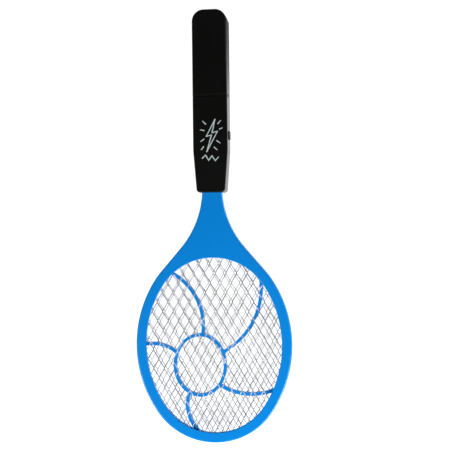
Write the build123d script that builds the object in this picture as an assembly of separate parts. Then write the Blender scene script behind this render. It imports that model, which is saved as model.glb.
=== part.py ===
from build123d import *
import os
from math import acos, atan2, cos, degrees, hypot, sin

os.makedirs("parts", exist_ok=True)

# Electric fly swatter lying on its back: +Z is the front face, +Y points to the butt of the
# handle, +X is the side with the push button. Millimetres, origin under the middle of the box.

# ---------------------------------------------------------------- head
OPEN_HALF_W = 71.1
OPEN_HALF_L = 91.0
END_R = 0.877 * OPEN_HALF_W
RIM_W = 10.7
NECK_RUN = 56.9
NECK_HALF_W = 10.3
SHOULDER_ENTRY = 5.5
SHOULDER_LINE = 33.1
FRAME_HALF_T = 5.4
FRAME_WALL = 2.0
FRAME_EDGE_R = 2.0
OPENING_EDGE_R = 0.8
REAR_LIP_GROW = 1.2
POCKET_GROW = 6.2
FIT = 0.2
JOIN = 0.5
INSIDE_OVAL = 1.02

SHEET_T = 0.5
SHEET_RIM = 1.0
CELL_W = 10.9
CELL_L = 19.5
STRAND_W = 0.6
BOND_L = 3.6
LAYER_SHIFT = 2.8
TAB_W = 7.0
TAB_L = 9.0
TAB_ROOT = 2.0

WEB_T = 2.4
RIB_W = 3.4
WEB_RIM_GROW = 1.2
HUB_W = 56.2
HUB_L = 66.4
HUB_X = -0.206
HUB_Y = -0.231

PEG_D = 1.6
PEG_L = 3.0
PEG_PLAY = 0.1
DOWEL_D = 3.4
DOWEL_BOSS_D = 6.4
DOWEL_X = 15.5
DOWEL_RISE = 12.0
TANG_COLLAR = 1.4
TANG_HOLE_PLAY = 0.25

# ---------------------------------------------------------------- handle
HANDLE_L = 189.7
HANDLE_TIP_W = 29.9
HANDLE_T = 27.0
HANDLE_DRAFT = 1.2
TAPER_L = 43.4
BUTT_R = 12.5
TIP_R = 3.5
EDGE_R = 1.2
WALL = 2.0
COVER_L = 90.3
GAP = 0.3
NOTCH_L = 3.0
NOTCH_H = 5.0
NOTCH_DEPTH = 0.9
NOTCH_RISE = 4.0
COVER_SLOPE_L = 3.0
COVER_SLOPE_H = 0.5
LIP_W = 16.0
LIP_L = 3.0
LIP_T = 1.5

TANG_L = 27.0
TANG_PLAY = 0.05
TANG_RIB_INSET = 6.5
TANG_RIB_END = 4.0
RIB_T = 2.0
CRADLES = (0.3, 0.8)

RAIL_T = 1.4
RAIL_FOOT = 1.5
RAIL_RISE = 3.3
RAIL_FROM_LINE = 7.8
RAIL_FROM_BUTT = 14.5
TONGUE_T = 1.0
TONGUE_W = 0.8
TONGUE_RISE = 1.6
TONGUE_FROM_LINE = 6.0
TONGUE_FROM_BUTT = 16.5

# ---------------------------------------------------------------- cells and contacts
CELL_D = 14.5
AA_L = 50.5
NUB_D = 5.4
NUB_L = 1.0
CELL_GAP = 0.2
CELL_LIFT = 0.25
CELL_EDGE_R = 0.6
SIDE_ROOM = 1.7
SPRING_H = 6.0
SPRING_WIRE = 0.8
SPRING_TURNS = 4
SPRING_BASE_R = 4.4
SPRING_TOP_R = 3.0
PLATE_T = 0.4
PLATE_W = 11.0
CONTACT_RIB_T = 2.4
CONTACT_FROM_BUTT = 11.5
CLIP_W = 4.0
CLIP_X = 6.5
CLIP_DROP = 4.4

# ---------------------------------------------------------------- circuit, button, fasteners
BOARD_L = 54.0
BOARD_W = 26.0
BOARD_T = 1.6
BOARD_Z = 8.0
BOARD_FROM_TIP = 32.7
POST_D = 5.0
POST_INSET = 2.7
BUTTON_FROM_TIP = 59.6
BUTTON_L = 8.5
BUTTON_H = 12.0
BUTTON_PROUD = 0.9
BUTTON_TRAVEL = 1.2
BUTTON_CORNER_R = 1.1
BUTTON_EDGE_R = 0.4
FLANGE_T = 1.2
FLANGE_RIM = 1.2
SWITCH_W = 8.0
SWITCH_INSET = 4.0
PLUNGER_W = 3.0
PLUNGER_PLAY = 0.1
LEAD_D = 1.4
LEAD_X = 4.0
LEAD_Y = 3.5
BOSS_PASS_X = 6.3

TRAFO_X = -5.4
TRAFO_RISE = 17.0
CORE_L = 16.0
CORE_H = 12.0
CORE_T = 5.0
YOKE = 2.0
CENTRE_LEG = 4.0
OUTER_LEG = 2.2
WINDING = 3.4
COIL_CORNER_R = 2.5
SWITCH_FROM_EDGE = 2.0

TO92_R = 2.4
TO92_FLAT = 1.6
TO92_H = 4.6
TO92_LIFT = 3.0
TO92_PITCH = 1.27
TO92_LEG = 0.5
TO92_X = 8.5
TO92_RISE = 9.0
CAPACITORS = ((13.0, 6.0, 11.0, 12.0), (12.0, 5.0, 9.0, 20.0))
CAPACITOR_X = -5.5
CAPACITOR_CORNER_R = 0.8
LEG_SPAN = 10.0
LEG_LIFT = 0.4
DIODE_D = 2.7
DIODE_L = 5.2
DIODE_LEG = 0.7
DIODE_XS = (3.6, 7.2, 10.8)
DIODE_FROM_END = 13.0
RESISTOR_D = 2.3
RESISTOR_L = 6.2
RESISTOR_LEG = 0.6
RESISTOR_X = 7.4
RESISTOR_RISES = (14.8, 18.6)

SCREW_D = 2.6
SCREW_PLAY = 0.05
SCREW_CLEAR = 0.2
SCREW_TIP_ROOM = 1.5
SCREW_HEAD_D = 5.0
SCREW_HEAD_T = 2.0
SCREW_L = 15.0
BOSS_D = 7.0
COUNTERBORE_D = 5.4
COUNTERBORE_L = 5.0
TIP_SCREW_INSET = 16.7
COVER_SCREW_INSET = 6.4
COVER_SCREW_X = 12.0
BOARD_SCREW_D = 2.0
BOARD_SCREW_HEAD_D = 4.0
BOARD_SCREW_HEAD_T = 1.4
BOARD_SCREW_L = 5.0

# ---------------------------------------------------------------- derived
LENGTH = 2 * (OPEN_HALF_L + RIM_W) + NECK_RUN + HANDLE_L
HANDLE_W = 2 * (CELL_D + CELL_GAP / 2 + SIDE_ROOM + WALL)
MID_Z = HANDLE_T / 2
HEAD_Y = -LENGTH / 2 + OPEN_HALF_L + RIM_W
BUTT_Y = LENGTH / 2
TIP_Y = BUTT_Y - HANDLE_L
COVER_Y = BUTT_Y - COVER_L
TANG_Y = TIP_Y + TANG_L
END_C = OPEN_HALF_L - END_R
SIDE_R = (OPEN_HALF_W**2 + END_C**2 - END_R**2) / (2 * (OPEN_HALF_W - END_R))
SIDE_D = SIDE_R - OPEN_HALF_W
SHOULDER_Y = OPEN_HALF_L + RIM_W + NECK_RUN + SHOULDER_ENTRY
NECK_TOP = SHOULDER_Y - SHOULDER_ENTRY + TANG_L
OUTER_R = END_R + RIM_W
SHOULDER_RUN = SHOULDER_Y - END_C
SHOULDER_R = (NECK_HALF_W**2 + SHOULDER_RUN**2 - OUTER_R**2 - SHOULDER_LINE**2) / (
    2 * (OUTER_R - NECK_HALF_W)
)
STACK_H = SHEET_T / 2 + WEB_T + SHEET_T
INNER_X = HANDLE_W / 2 - WALL
BOARD_TOP = BOARD_Z + BOARD_T
BOARD_Y = TIP_Y + BOARD_FROM_TIP
BUTTON_Y = TIP_Y + BUTTON_FROM_TIP
CELL_X = (CELL_D + CELL_GAP) / 2
CELL_Z = WALL + CELL_LIFT + CELL_D / 2
BRIDGE_FACE_Y = BUTT_Y - CONTACT_FROM_BUTT
CONTACT_FACE_Y = BRIDGE_FACE_Y - AA_L - SPRING_H
PLATE_TOP = CELL_Z + PLATE_W / 2
HANDLE_SCREWS = [
    (0.0, TIP_Y + TIP_SCREW_INSET),
    (-COVER_SCREW_X, COVER_Y - COVER_SCREW_INSET),
    (COVER_SCREW_X, COVER_Y - COVER_SCREW_INSET),
]
POST_X = BOARD_W / 2 - POST_INSET
POST_YS = (BOARD_Y + POST_INSET, BOARD_Y + BOARD_L - POST_INSET)
POSTS = [(x, y) for x in (-POST_X, POST_X) for y in POST_YS]
BOARD_SCREWS = [POSTS[1], POSTS[2]]
BOARD_HOLE_Z = BOARD_TOP - BOARD_SCREW_L - JOIN
SCREW_HOLE_D = SCREW_D + 2 * SCREW_CLEAR
GROUND_TAB_X = -8.0
LIVE_TAB_X = 6.3
TAB_END = HEAD_Y + OPEN_HALF_L + POCKET_GROW - FIT + TAB_L
SWITCH_H = 2 * (MID_Z - BOARD_TOP)
SWITCH_X1 = BOARD_W / 2 - SWITCH_FROM_EDGE
CAP_FACE_X = INNER_X - GAP - FLANGE_T


def block(x0, x1, y0, y1, z0, z1):
    """A box given by its six faces."""
    size = Box(x1 - x0, y1 - y0, z1 - z0, align=(Align.MIN, Align.MIN, Align.MIN))
    return Pos(x0, y0, z0) * size


def rod(x, y, z0, z1, d):
    """An upright cylinder."""
    return Pos(x, y, z0) * Cylinder(d / 2, z1 - z0, align=(Align.CENTER, Align.CENTER, Align.MIN))


def oval(grow):
    """The head's four-arc oval, the opening grown outwards by grow."""
    turn = degrees(atan2(END_C, SIDE_D))
    arcs = [
        CenterArc((-SIDE_D, 0), SIDE_R + grow, -turn, 2 * turn),
        CenterArc((0, END_C), END_R + grow, turn, 180 - 2 * turn),
        CenterArc((SIDE_D, 0), SIDE_R + grow, 180 - turn, 2 * turn),
        CenterArc((0, -END_C), END_R + grow, 180 + turn, 180 - 2 * turn),
    ]
    return make_face(arcs)


def flare(inset, top):
    """Shoulders and neck: straight off the oval, one hollow arc each side, then parallel."""
    r_head = OUTER_R - inset
    r_arc = SHOULDER_R + inset
    cx = NECK_HALF_W + SHOULDER_R
    n = atan2(SHOULDER_Y - END_C, cx) - acos((r_head + r_arc) / hypot(cx, SHOULDER_Y - END_C))
    t1 = (r_head * cos(n), END_C + r_head * sin(n))
    t2 = (cx - r_arc * cos(n), SHOULDER_Y - r_arc * sin(n))
    w = NECK_HALF_W - inset
    lines = [
        Line(t1, t2),
        CenterArc((cx, SHOULDER_Y), r_arc, 180 + degrees(n), -degrees(n)),
        Line((w, SHOULDER_Y), (w, top)),
        Line((w, top), (-w, top)),
        Line((-w, top), (-w, SHOULDER_Y)),
        CenterArc((-cx, SHOULDER_Y), r_arc, 0, -degrees(n)),
        Line((-t2[0], t2[1]), (-t1[0], t1[1])),
        Line((-t1[0], t1[1]), t1),
    ]
    return make_face(lines)


def peg_spots():
    """Middle of the frame's outer wall, spread round the rim."""
    grow = (POCKET_GROW + RIM_W) / 2
    spots = []
    for angle in (-140, -115, -90, -65, -40):
        spots.append(Vector(0, -END_C) + Vector(END_R + grow, 0).rotate(Axis.Z, angle))
    for side in (-1, 1):
        for angle in (-18, 0, 18):
            arm = Vector(SIDE_R + grow, 0).rotate(Axis.Z, angle)
            spots.append(Vector(side * (arm.X - SIDE_D), arm.Y))
    return spots


def opening_edges(half):
    """Skin-side edges of a frame half that run round the opening."""
    rim = half.edges().group_by(Axis.Z)[-1]
    return [e for e in rim if hypot(e.center().X / OPEN_HALF_W, e.center().Y / OPEN_HALF_L) < INSIDE_OVAL]


def frame_half(is_front):
    """One moulded half of the racket frame, mid-plane at z = 0, skin towards +Z."""
    opening = oval(0 if is_front else REAR_LIP_GROW)
    half = extrude(oval(RIM_W) + flare(0, NECK_TOP) - opening, FRAME_HALF_T)
    inner = opening_edges(half)
    rim = half.edges().group_by(Axis.Z)[-1]
    half = fillet([e for e in rim if e not in inner and e.center().Y < NECK_TOP - 0.1], FRAME_EDGE_R)
    half = fillet(opening_edges(half), OPENING_EDGE_R)
    half -= extrude(oval(POCKET_GROW), STACK_H)
    skin_z = FRAME_HALF_T - FRAME_WALL
    half -= extrude(flare(FRAME_WALL, NECK_TOP + 1) - oval(POCKET_GROW + FRAME_WALL), skin_z)
    wall_y = OPEN_HALF_L + POCKET_GROW
    slot = TAB_W / 2 + FIT
    for x in (GROUND_TAB_X, LIVE_TAB_X):
        half -= block(x - slot, x + slot, wall_y - 2, wall_y + FRAME_WALL + 2, 0, STACK_H)
    boss_y = HANDLE_SCREWS[0][1] - HEAD_Y
    half += rod(0, boss_y, 0, skin_z + JOIN, BOSS_D + 2 * TANG_COLLAR)
    half -= rod(0, boss_y, -1, FRAME_HALF_T + 1, BOSS_D + 2 * TANG_HOLE_PLAY)
    dowel_y = OPEN_HALF_L + RIM_W + DOWEL_RISE
    for x in (-DOWEL_X, DOWEL_X):
        half += rod(x, dowel_y, 0, skin_z + JOIN, DOWEL_BOSS_D)
        if is_front:
            half -= rod(x, dowel_y, 0, skin_z, DOWEL_D + 2 * PEG_PLAY)
    if is_front:
        for spot in peg_spots():
            half -= rod(spot.X, spot.Y, 0, PEG_L + PEG_PLAY, PEG_D + 2 * PEG_PLAY)
        return Pos(0, HEAD_Y, MID_Z) * half
    half = mirror(half, about=Plane.XY)
    for spot in peg_spots():
        half += rod(spot.X, spot.Y, -JOIN, PEG_L, PEG_D)
    for x in (-DOWEL_X, DOWEL_X):
        half += rod(x, dowel_y, -JOIN, skin_z - PEG_PLAY, DOWEL_D)
    return Pos(0, HEAD_Y, MID_Z) * half


def web():
    """The plastic spacer: a rim, an off-centre ring and five curved spokes."""
    def at(u, v):
        return (u * OPEN_HALF_W, v * OPEN_HALF_L)

    plan = oval(POCKET_GROW - FIT) - oval(WEB_RIM_GROW)
    hub = Ellipse(HUB_W / 2, HUB_L / 2) - Ellipse(HUB_W / 2 - RIB_W, HUB_L / 2 - RIB_W)
    plan += Pos(*at(HUB_X, HUB_Y)) * hub
    spokes = [
        (at(-0.631, 0.834), at(-0.250, 0.531), at(-0.163, 0.122)),
        (at(0.702, 0.742), at(0.600, 0.300), at(0.158, -0.073)),
        (at(-1.026, 0.005), at(-0.787, 0.003), at(-0.563, -0.081)),
        (at(-0.374, -0.551), at(-0.392, -0.772), at(-0.220, -1.003)),
        (at(0.080, -0.460), at(0.468, -0.559), at(0.910, -0.501)),
    ]
    for start, middle, end in spokes:
        plan += SlotArc(ThreePointArc(start, middle, end), RIB_W)
    return plan & oval(POCKET_GROW - FIT)


def expanded_sheet(shift_x, shift_y, tab_x):
    """Expanded-metal sheet: hexagonal openings, long way along the racket, with a solder tab."""
    half_w = CELL_W / 2 - STRAND_W
    tip = CELL_L / 2 - BOND_L / 2 - STRAND_W
    shoulder = BOND_L / 2
    hexagon = make_face(Polyline(
        (half_w, -shoulder), (half_w, shoulder), (0, tip),
        (-half_w, shoulder), (-half_w, -shoulder), (0, -tip), close=True,
    ))
    reach_w = OPEN_HALF_W + POCKET_GROW + CELL_W / 2
    reach_l = OPEN_HALF_L + POCKET_GROW + CELL_L / 2
    cols = int(reach_w / CELL_W) + 1
    rows = int(reach_l / CELL_L) + 1
    holes = []
    for row in range(-2 * rows, 2 * rows + 1):
        for col in range(-cols, cols + 1):
            x = (col + 0.5 * (row % 2)) * CELL_W + shift_x
            y = row * CELL_L / 2 + shift_y
            if hypot(x / reach_w, y / reach_l) < 1:
                holes.append(Pos(x, y) * hexagon)
    edge = oval(POCKET_GROW - FIT - SHEET_RIM)
    cut = Sketch() + [hole & edge for hole in holes]
    plan = oval(POCKET_GROW - FIT)
    top = OPEN_HALF_L + POCKET_GROW - FIT
    tab = Pos(tab_x, top + TAB_L / 2 - TAB_ROOT) * RectangleRounded(TAB_W, TAB_L + 2 * TAB_ROOT, 1)
    return plan - cut + tab


def in_head(plan, z, thickness):
    return Pos(0, HEAD_Y, MID_Z + z) * extrude(plan, thickness)


def handle_plan(inset):
    """Handle outline: parallel grip, round butt corners, tapered tip."""
    w0 = HANDLE_TIP_W / 2
    w1 = HANDLE_W / 2
    y1 = TIP_Y + TAPER_L
    face = make_face(Polyline(
        (w0, TIP_Y), (w1, y1), (w1, BUTT_Y), (-w1, BUTT_Y), (-w1, y1), (-w0, TIP_Y), close=True,
    ))
    rows = face.vertices().group_by(Axis.Y)
    face = fillet(rows[2], BUTT_R)
    face = fillet(face.vertices().group_by(Axis.Y)[0], TIP_R)
    bends = [v for v in face.vertices() if abs(v.Y - y1) < 0.1]
    face = fillet(bends, 2 * HANDLE_W)
    return offset(face, -inset) if inset else face


def handle_half():
    """Half the hollow handle, face down: drafted sides, skin from z = 0, open at the mid-plane."""
    solid = extrude(handle_plan(0), MID_Z, taper=HANDLE_DRAFT)
    solid = Pos(0, 0, MID_Z) * mirror(solid, about=Plane.XY)
    solid = fillet(solid.edges().group_by(Axis.Z)[0], EDGE_R)
    return solid - Pos(0, 0, WALL) * extrude(handle_plan(WALL), MID_Z)


def tang_window():
    w = NECK_HALF_W + 0.25
    h = FRAME_HALF_T + TANG_PLAY
    return block(-w, w, TIP_Y - 1, TIP_Y + WALL + 1, MID_Z - h, MID_Z + h)


def button_window():
    y = BUTTON_L / 2 + GAP
    z = BUTTON_H / 2 + GAP
    return block(INNER_X - 1, HANDLE_W, BUTTON_Y - y, BUTTON_Y + y, MID_Z - z, MID_Z + z)


def tang_ribs(z0, z1):
    """Two ribs that clamp the flat of the frame's tang."""
    ribs = Part()
    for y in (TIP_Y + TANG_RIB_INSET, TANG_Y - TANG_RIB_END):
        ribs += block(-NECK_HALF_W, NECK_HALF_W, y, y + RIB_T, z0, z1)
    return ribs


def cell_tray():
    """Two ribs behind the contacts and two cradles under the cells."""
    low = CONTACT_FACE_Y - PLATE_T
    high = BRIDGE_FACE_Y + PLATE_T
    reach = INNER_X - RAIL_T - 2 * GAP
    tray = Part()
    for y0, y1 in ((low - CONTACT_RIB_T, low), (high, high + CONTACT_RIB_T)):
        tray += block(-reach, reach, y0, y1, WALL - JOIN, PLATE_TOP)
    wide = INNER_X + JOIN
    for share in CRADLES:
        y = CONTACT_FACE_Y + share * AA_L
        cradle = block(-wide, wide, y - RIB_T / 2, y + RIB_T / 2, WALL - JOIN, CELL_Z - 1)
        for x in (-CELL_X, CELL_X):
            cradle -= Pos(x, y, CELL_Z) * Rot(90, 0, 0) * Cylinder(CELL_D / 2, 3 * RIB_T)
        tray += cradle
    return tray


def cover_rail():
    """The right-hand rail for the cover, on a foot from the wall, grooved on the outside."""
    y0 = COVER_Y + RAIL_FROM_LINE
    y1 = BUTT_Y - RAIL_FROM_BUTT
    face = INNER_X - GAP
    rail = block(face - RAIL_T, face, y0, y1, MID_Z - RAIL_FOOT, MID_Z + RAIL_RISE)
    rail += block(face - RAIL_T, INNER_X + JOIN, y0, y1, MID_Z - RAIL_FOOT, MID_Z - GAP)
    z = MID_Z + TONGUE_RISE
    return rail - block(face - TONGUE_W, INNER_X, y0 - 1, y1 + 1, z - GAP, z + TONGUE_T + GAP)


def handle_rear_shell():
    shell = handle_half()
    for x, y in HANDLE_SCREWS:
        shell += rod(x, y, 0, MID_Z, BOSS_D)
        shell -= rod(x, y, -1, COUNTERBORE_L, COUNTERBORE_D)
        shell -= rod(x, y, 0, MID_Z + 1, SCREW_HOLE_D)
    shell += tang_ribs(WALL - JOIN, MID_Z - FRAME_HALF_T - TANG_PLAY)
    for x, y in POSTS:
        shell += rod(x, y, WALL - JOIN, BOARD_Z, POST_D)
    for x, y in BOARD_SCREWS:
        shell -= rod(x, y, BOARD_HOLE_Z, BOARD_Z + 1, BOARD_SCREW_D + 2 * SCREW_PLAY)
    shell += cell_tray()
    shell += cover_rail() + mirror(cover_rail(), about=Plane.YZ)
    rim = extrude(handle_plan(-1), GAP) - extrude(handle_plan(WALL), GAP)
    behind_line = block(-HANDLE_W, HANDLE_W, COVER_Y - GAP, BUTT_Y + 2, 0, GAP)
    shell -= Pos(0, 0, MID_Z - GAP) * (rim & behind_line)
    shell -= tang_window()
    shell -= button_window()
    return shell


def upper_half():
    return Pos(0, 0, HANDLE_T) * mirror(handle_half(), about=Plane.XY)


def handle_front_shell():
    keep = COVER_Y - GAP
    shell = upper_half() - block(-HANDLE_W, HANDLE_W, keep, BUTT_Y + 1, 0, HANDLE_T + 1)
    for x, y in HANDLE_SCREWS:
        shell += rod(x, y, MID_Z, HANDLE_T - WALL + JOIN, BOSS_D)
        shell -= rod(x, y, MID_Z - 1, COUNTERBORE_L + SCREW_L + SCREW_TIP_ROOM, SCREW_D + 2 * SCREW_PLAY)
    shell += tang_ribs(MID_Z + FRAME_HALF_T + TANG_PLAY, HANDLE_T - WALL + JOIN)
    shell -= tang_window()
    shell -= button_window()
    return shell


def battery_cover():
    """Front half of the handle from the line to the butt, with side notches, tongues and a lip."""
    cover = upper_half() - block(-HANDLE_W, HANDLE_W, TIP_Y - 1, COVER_Y, 0, HANDLE_T + 1)
    wedge = make_face(Polyline(
        (COVER_Y, HANDLE_T), (COVER_Y, HANDLE_T - COVER_SLOPE_H), (COVER_Y + COVER_SLOPE_L, HANDLE_T),
        close=True,
    ))
    cover -= extrude(Plane.YZ * wedge, HANDLE_W, both=True)
    notch_z = MID_Z + NOTCH_RISE
    notch_x = HANDLE_W / 2 - NOTCH_DEPTH
    notch = block(notch_x, HANDLE_W, COVER_Y - 1, COVER_Y + NOTCH_L, notch_z, notch_z + NOTCH_H)
    tongue_z = MID_Z + TONGUE_RISE
    tongue = block(
        INNER_X - TONGUE_W, INNER_X + JOIN, COVER_Y + TONGUE_FROM_LINE, BUTT_Y - TONGUE_FROM_BUTT,
        tongue_z, tongue_z + TONGUE_T,
    )
    cover -= notch + mirror(notch, about=Plane.YZ)
    cover += tongue + mirror(tongue, about=Plane.YZ)
    lip_x = LIP_W / 2
    lip_z = HANDLE_T - WALL - GAP
    cover += block(-lip_x, lip_x, COVER_Y - LIP_L, COVER_Y + LIP_L, lip_z - LIP_T, lip_z)
    return cover + block(-lip_x, lip_x, COVER_Y + JOIN, COVER_Y + LIP_L, lip_z - 0.1, HANDLE_T - WALL + 0.2)


def cell(x, toward_butt):
    """An AA cell: can, shoulder and positive nub."""
    can = Cylinder(CELL_D / 2, AA_L - NUB_L, align=(Align.CENTER, Align.CENTER, Align.MIN))
    can = fillet(can.edges().filter_by(GeomType.CIRCLE), CELL_EDGE_R)
    can += Pos(0, 0, AA_L - NUB_L - 0.1) * Cylinder(
        NUB_D / 2, NUB_L + 0.1, align=(Align.CENTER, Align.CENTER, Align.MIN)
    )
    if toward_butt:
        return Pos(x, BRIDGE_FACE_Y - AA_L, CELL_Z) * Rot(-90, 0, 0) * can
    return Pos(x, CONTACT_FACE_Y + AA_L, CELL_Z) * Rot(90, 0, 0) * can


def coil_spring():
    """Cone-shaped contact spring standing on z = 0."""
    rise = SPRING_H - SPRING_WIRE
    cone = -degrees(atan2(SPRING_BASE_R - SPRING_TOP_R, rise))
    path = Helix(pitch=rise / SPRING_TURNS, height=rise, radius=SPRING_BASE_R, cone_angle=cone)
    section = Plane(origin=path @ 0, z_dir=path % 0) * Circle(SPRING_WIRE / 2)
    return Pos(0, 0, SPRING_WIRE / 2) * sweep(section, path=path, is_frenet=True)


def contact_plate(x, face_y):
    """Plate on the inner rib, clipped over its top, with a solder leg behind."""
    back = face_y - PLATE_T - CONTACT_RIB_T
    clip_x = CLIP_X if x > 0 else -CLIP_X
    clip0 = clip_x - CLIP_W / 2
    clip1 = clip_x + CLIP_W / 2
    half = PLATE_W / 2
    plate = block(x - half, x + half, face_y - PLATE_T, face_y, CELL_Z - half, PLATE_TOP)
    plate += block(clip0, clip1, back - PLATE_T, face_y, PLATE_TOP, PLATE_TOP + PLATE_T)
    plate += block(clip0, clip1, back - PLATE_T, back, PLATE_TOP - CLIP_DROP, PLATE_TOP + PLATE_T)
    return plate


def negative_contact():
    plate = contact_plate(-CELL_X, CONTACT_FACE_Y)
    return plate + Pos(-CELL_X, CONTACT_FACE_Y, CELL_Z) * Rot(-90, 0, 0) * Pos(0, 0, -0.2) * coil_spring()


def bridge_contact():
    plate = block(
        -CELL_X - PLATE_W / 2, CELL_X + PLATE_W / 2,
        BRIDGE_FACE_Y, BRIDGE_FACE_Y + PLATE_T, CELL_Z - PLATE_W / 2, PLATE_TOP,
    )
    return plate + Pos(CELL_X, BRIDGE_FACE_Y, CELL_Z) * Rot(90, 0, 0) * Pos(0, 0, -0.2) * coil_spring()


def circuit_board():
    board = block(-BOARD_W / 2, BOARD_W / 2, BOARD_Y, BOARD_Y + BOARD_L, BOARD_Z, BOARD_TOP)
    for x, y in POSTS:
        board -= rod(x, y, 0, HANDLE_T, BOARD_SCREW_D + 0.3)
    return board


def transformer_core():
    """Two E cores butted into one figure-of-eight ferrite."""
    core = block(-CORE_T / 2, CORE_T / 2, -CORE_L / 2, CORE_L / 2, 0, CORE_H)
    for side in (-1, 1):
        y0, y1 = sorted((side * CENTRE_LEG / 2, side * (CORE_L / 2 - OUTER_LEG)))
        core -= block(-CORE_T, CORE_T, y0, y1, YOKE, CORE_H - YOKE)
    return Pos(TRAFO_X, BOARD_Y + TRAFO_RISE, BOARD_TOP) * core


def transformer_coil():
    outer = RectangleRounded(CORE_T + 2 * WINDING, CENTRE_LEG + 2 * WINDING, COIL_CORNER_R)
    bore = Rectangle(CORE_T, CENTRE_LEG)
    coil = extrude(outer - bore, CORE_H - 2 * YOKE)
    return Pos(TRAFO_X, BOARD_Y + TRAFO_RISE, BOARD_TOP + YOKE) * coil


def transistor():
    """TO-92 package on three legs."""
    flat = Pos(0, -TO92_FLAT - TO92_R) * Rectangle(3 * TO92_R, 2 * TO92_R)
    body = Pos(0, 0, TO92_LIFT) * extrude(Circle(TO92_R) - flat, TO92_H)
    half = TO92_LEG / 2
    for leg in (-TO92_PITCH, 0, TO92_PITCH):
        body += block(leg - half, leg + half, -half, half, 0, TO92_LIFT + JOIN)
    return Pos(TO92_X, BOARD_Y + TO92_RISE, BOARD_TOP) * body


def hv_capacitors():
    """Two box film capacitors: length, width, height and distance from the board's end."""
    boxes = []
    for length, width, height, from_end in CAPACITORS:
        box = extrude(RectangleRounded(length, width, CAPACITOR_CORNER_R), height)
        boxes.append(Pos(CAPACITOR_X, BOARD_Y + BOARD_L - from_end, BOARD_TOP) * box)
    return Compound(boxes)


def axial_part(d, body_l, wire):
    """Axial component along X, legs bent down to z = 0."""
    z = d / 2 + LEG_LIFT
    half = wire / 2
    part = Rot(0, 90, 0) * fillet(Cylinder(d / 2, body_l).edges().filter_by(GeomType.CIRCLE), d / 6)
    part = Pos(0, 0, z) * part
    for side in (-1, 1):
        x0, x1 = sorted((side * (body_l / 2 - JOIN), side * LEG_SPAN / 2))
        part += block(x0, x1, -half, half, z - half, z + half)
        x0, x1 = sorted((side * (LEG_SPAN / 2 - wire), side * LEG_SPAN / 2))
        part += block(x0, x1, -half, half, 0, z + half)
    return part


def diodes():
    y = BOARD_Y + BOARD_L - DIODE_FROM_END
    one = Rot(0, 0, 90) * axial_part(DIODE_D, DIODE_L, DIODE_LEG)
    return Compound([Pos(x, y, BOARD_TOP) * one for x in DIODE_XS])


def resistors():
    one = axial_part(RESISTOR_D, RESISTOR_L, RESISTOR_LEG)
    return Compound([Pos(RESISTOR_X, BOARD_Y + rise, BOARD_TOP) * one for rise in RESISTOR_RISES])


def switch_body():
    y0 = BUTTON_Y - SWITCH_W / 2
    body = block(SWITCH_X1 - SWITCH_W, SWITCH_X1, y0, y0 + SWITCH_W, BOARD_TOP, BOARD_TOP + SWITCH_H)
    bore = PLUNGER_W / 2 + PLUNGER_PLAY
    reach = SWITCH_X1 - SWITCH_INSET - BUTTON_TRAVEL - GAP
    y1 = BUTTON_Y + bore
    return body - block(reach, SWITCH_X1 + 1, BUTTON_Y - bore, y1, MID_Z - bore, MID_Z + bore)


def switch_plunger():
    w = PLUNGER_W / 2
    return block(SWITCH_X1 - SWITCH_INSET, CAP_FACE_X, BUTTON_Y - w, BUTTON_Y + w, MID_Z - w, MID_Z + w)


def button_cap():
    """Push button: rounded cap through the side wall, flange behind it."""
    reach = HANDLE_W / 2 + BUTTON_PROUD - CAP_FACE_X
    cap = extrude(RectangleRounded(BUTTON_L, BUTTON_H, BUTTON_CORNER_R), reach)
    cap = fillet(cap.edges().group_by(Axis.Z)[-1], BUTTON_EDGE_R)
    flange = RectangleRounded(BUTTON_L + 2 * FLANGE_RIM, BUTTON_H + 2 * FLANGE_RIM, BUTTON_CORNER_R)
    cap += extrude(flange, FLANGE_T)
    place = Plane(origin=(CAP_FACE_X, BUTTON_Y, MID_Z), x_dir=(0, 1, 0), z_dir=(1, 0, 0))
    return place * cap


def screw(head_d, head_t, shank_d, shank_l):
    """Pan-head self-tapping screw pointing up, head under z = 0, cross recess below."""
    head = Pos(0, 0, -head_t) * Cylinder(head_d / 2, head_t, align=(Align.CENTER, Align.CENTER, Align.MIN))
    head = fillet(head.edges().filter_by(GeomType.CIRCLE).group_by(Axis.Z)[0], 0.3 * head_t)
    head += rod(0, 0, -0.1, shank_l - shank_d / 2, shank_d)
    head += Pos(0, 0, shank_l - shank_d / 2) * Cone(
        shank_d / 2, 0.2, shank_d / 2, align=(Align.CENTER, Align.CENTER, Align.MIN)
    )
    arm = 0.3 * head_d
    for w, l in ((0.16 * head_d, arm), (arm, 0.16 * head_d)):
        head -= block(-w, w, -l, l, -head_t - 1, -0.45 * head_t) & rod(0, 0, -head_t - 1, 0, 2 * arm)
    return head


def handle_screws():
    one = screw(SCREW_HEAD_D, SCREW_HEAD_T, SCREW_D, SCREW_L)
    return Compound([Pos(x, y, COUNTERBORE_L) * one for x, y in HANDLE_SCREWS])


def board_screws():
    one = Rot(180, 0, 0) * screw(BOARD_SCREW_HEAD_D, BOARD_SCREW_HEAD_T, BOARD_SCREW_D, BOARD_SCREW_L)
    return Compound([Pos(x, y, BOARD_TOP) * one for x, y in BOARD_SCREWS])


def lead(points, radii):
    """Insulated wire along straight runs joined by tangent arcs."""
    path = FilletPolyline(*points, radius=radii)
    section = Plane(origin=path @ 0, z_dir=path % 0) * Circle(LEAD_D / 2)
    return sweep(section, path=path)


def battery_lead(side):
    x = side * CLIP_X
    start = CONTACT_FACE_Y - 2 * PLATE_T - CONTACT_RIB_T
    z = PLATE_TOP - CLIP_DROP + LEAD_D
    end = BOARD_Y + BOARD_L - 4.0
    return lead([(x, start, z), (x, end, z), (x, end, BOARD_TOP)], [2.0])


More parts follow.
